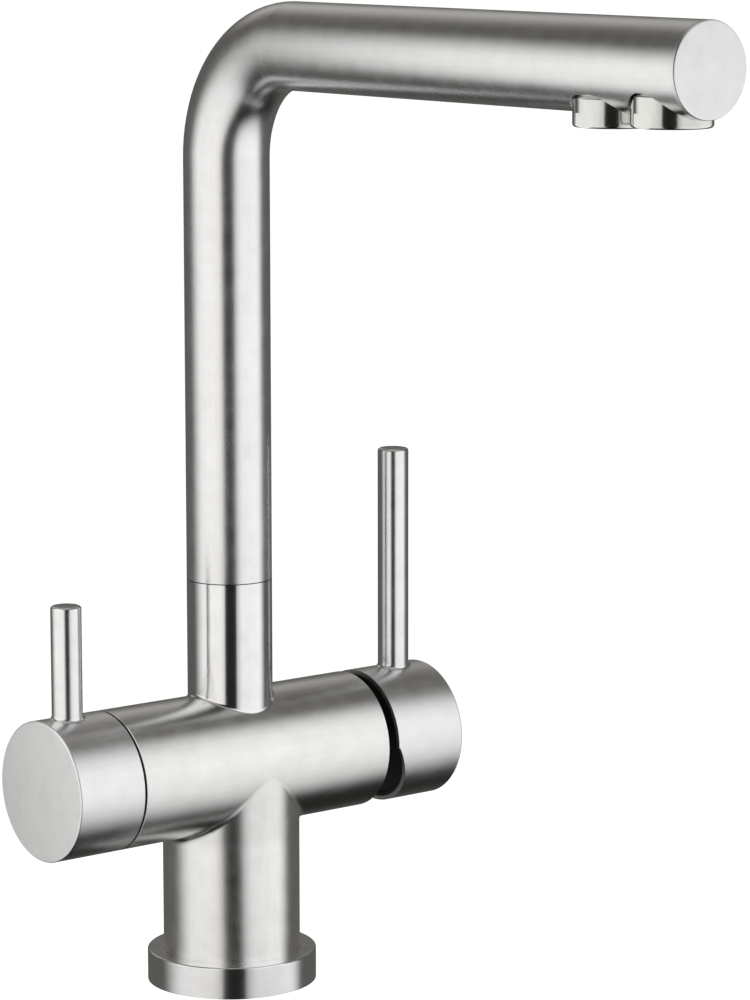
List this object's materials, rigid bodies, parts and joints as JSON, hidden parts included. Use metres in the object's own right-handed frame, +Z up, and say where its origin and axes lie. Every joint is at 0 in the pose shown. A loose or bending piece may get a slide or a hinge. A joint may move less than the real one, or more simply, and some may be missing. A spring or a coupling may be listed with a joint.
{
  "type": "kitchen mixer tap",
  "caption": "Brushed steel kitchen tap with a swivelling square-necked spout, a long mixer lever, a short filtered water lever and its worktop fixing kit.",
  "frame": {"origin": "centre of the base ring's underside, on the worktop", "axes": "+Z up along the column, -Y along the spout towards the user, +X to the user's right, where the mixer lever is"},
  "size_m": [0.1561, 0.2531, 0.4015],
  "materials": {
    "brushed_stainless": "satin, brushed round the axis",
    "polished_stainless": "finely polished",
    "plain_steel": "turned, unpolished",
    "zinc_steel": "zinc plated",
    "dark_steel": "blackened",
    "brass": "machined",
    "black_rubber": "moulded, matte",
    "black_plastic": "moulded, matte",
    "white_plastic": "moulded",
    "clear_hose": "drinking water tube",
    "ceramic": "lapped"
  },
  "bodies": {
    "mount": {"tap_body": "brushed_stainless", "neck": "polished_stainless", "base_ring": "brushed_stainless", "base_gasket": "black_rubber", "base_plug": "brass", "hot_riser": "plain_steel", "cold_riser": "plain_steel", "filter_riser": "plain_steel", "fixing_stud": "zinc_steel", "clamp_pad": "black_rubber", "clamp_plate": "zinc_steel", "fixing_nut": "brass", "cartridge_seal": "black_rubber", "cartridge_base": "white_plastic", "cartridge_housing": "white_plastic", "fixed_disc": "ceramic", "cartridge_nut": "brass", "mixer_shroud": "black_plastic", "filter_valve_body": "brass", "filter_valve_seal": "black_rubber", "filter_fixed_disc": "ceramic", "spout_retaining_screw": "dark_steel", "inner_tube_ring": "black_rubber"},
    "mixer_carrier": {"cartridge_rotor": "black_plastic", "pivot_pin": "plain_steel"},
    "mixer_disc": {"moving_disc": "ceramic", "disc_driver": "white_plastic"},
    "mixer_handle": {"mixer_stem": "plain_steel", "mixer_cap": "brushed_stainless", "mixer_cap_liner": "black_plastic", "mixer_lever": "polished_stainless", "mixer_grub_screw": "dark_steel"},
    "filter_handle": {"filter_moving_disc": "ceramic", "filter_spindle": "plain_steel", "filter_cap": "brushed_stainless", "filter_lever": "polished_stainless", "filter_grub_screw": "dark_steel"},
    "spout": {"spout_tube": "brushed_stainless", "outlet_head": "brushed_stainless", "spout_end_plate": "brushed_stainless", "spout_spigot": "plain_steel", "upper_bush": "white_plastic", "lower_bush": "white_plastic", "upper_seal_ring": "black_rubber", "lower_seal_ring": "black_rubber", "inner_tube": "clear_hose", "mixed_aerator_housing": "polished_stainless", "mixed_aerator_insert": "white_plastic", "mixed_aerator_washer": "black_rubber", "filtered_aerator_housing": "polished_stainless", "filtered_aerator_insert": "white_plastic", "filtered_aerator_washer": "black_rubber"}
  },
  "joints": [
    {"name": "spout_swivel", "type": "hinge", "parent": "mount", "child": "spout", "pos_m": [0, 0, 0.135], "axis": [0, 0, 1], "continuous": true},
    {"name": "mixer_temperature", "type": "hinge", "parent": "mount", "child": "mixer_carrier", "pos_m": [0.038, 0, 0.0741], "axis": [1, 0, 0], "range_deg": [-50, 50]},
    {"name": "mixer_flow", "type": "hinge", "parent": "mixer_carrier", "child": "mixer_handle", "pos_m": [0.038, 0, 0.0741], "axis": [0, 1, 0], "range_deg": [0, 25]},
    {"name": "disc_slide", "type": "slide", "parent": "mixer_carrier", "child": "mixer_disc", "axis": [0, 0, 1], "range_m": [0, 0.0035]},
    {"name": "filter_lever_turn", "type": "hinge", "parent": "mount", "child": "filter_handle", "pos_m": [-0.05, 0, 0.0741], "axis": [1, 0, 0], "range_deg": [0, 90]}
  ],
  "couplings": [
    {"joint": "disc_slide", "follows": "mixer_flow", "m_per_rad": 0.008}
  ]
}
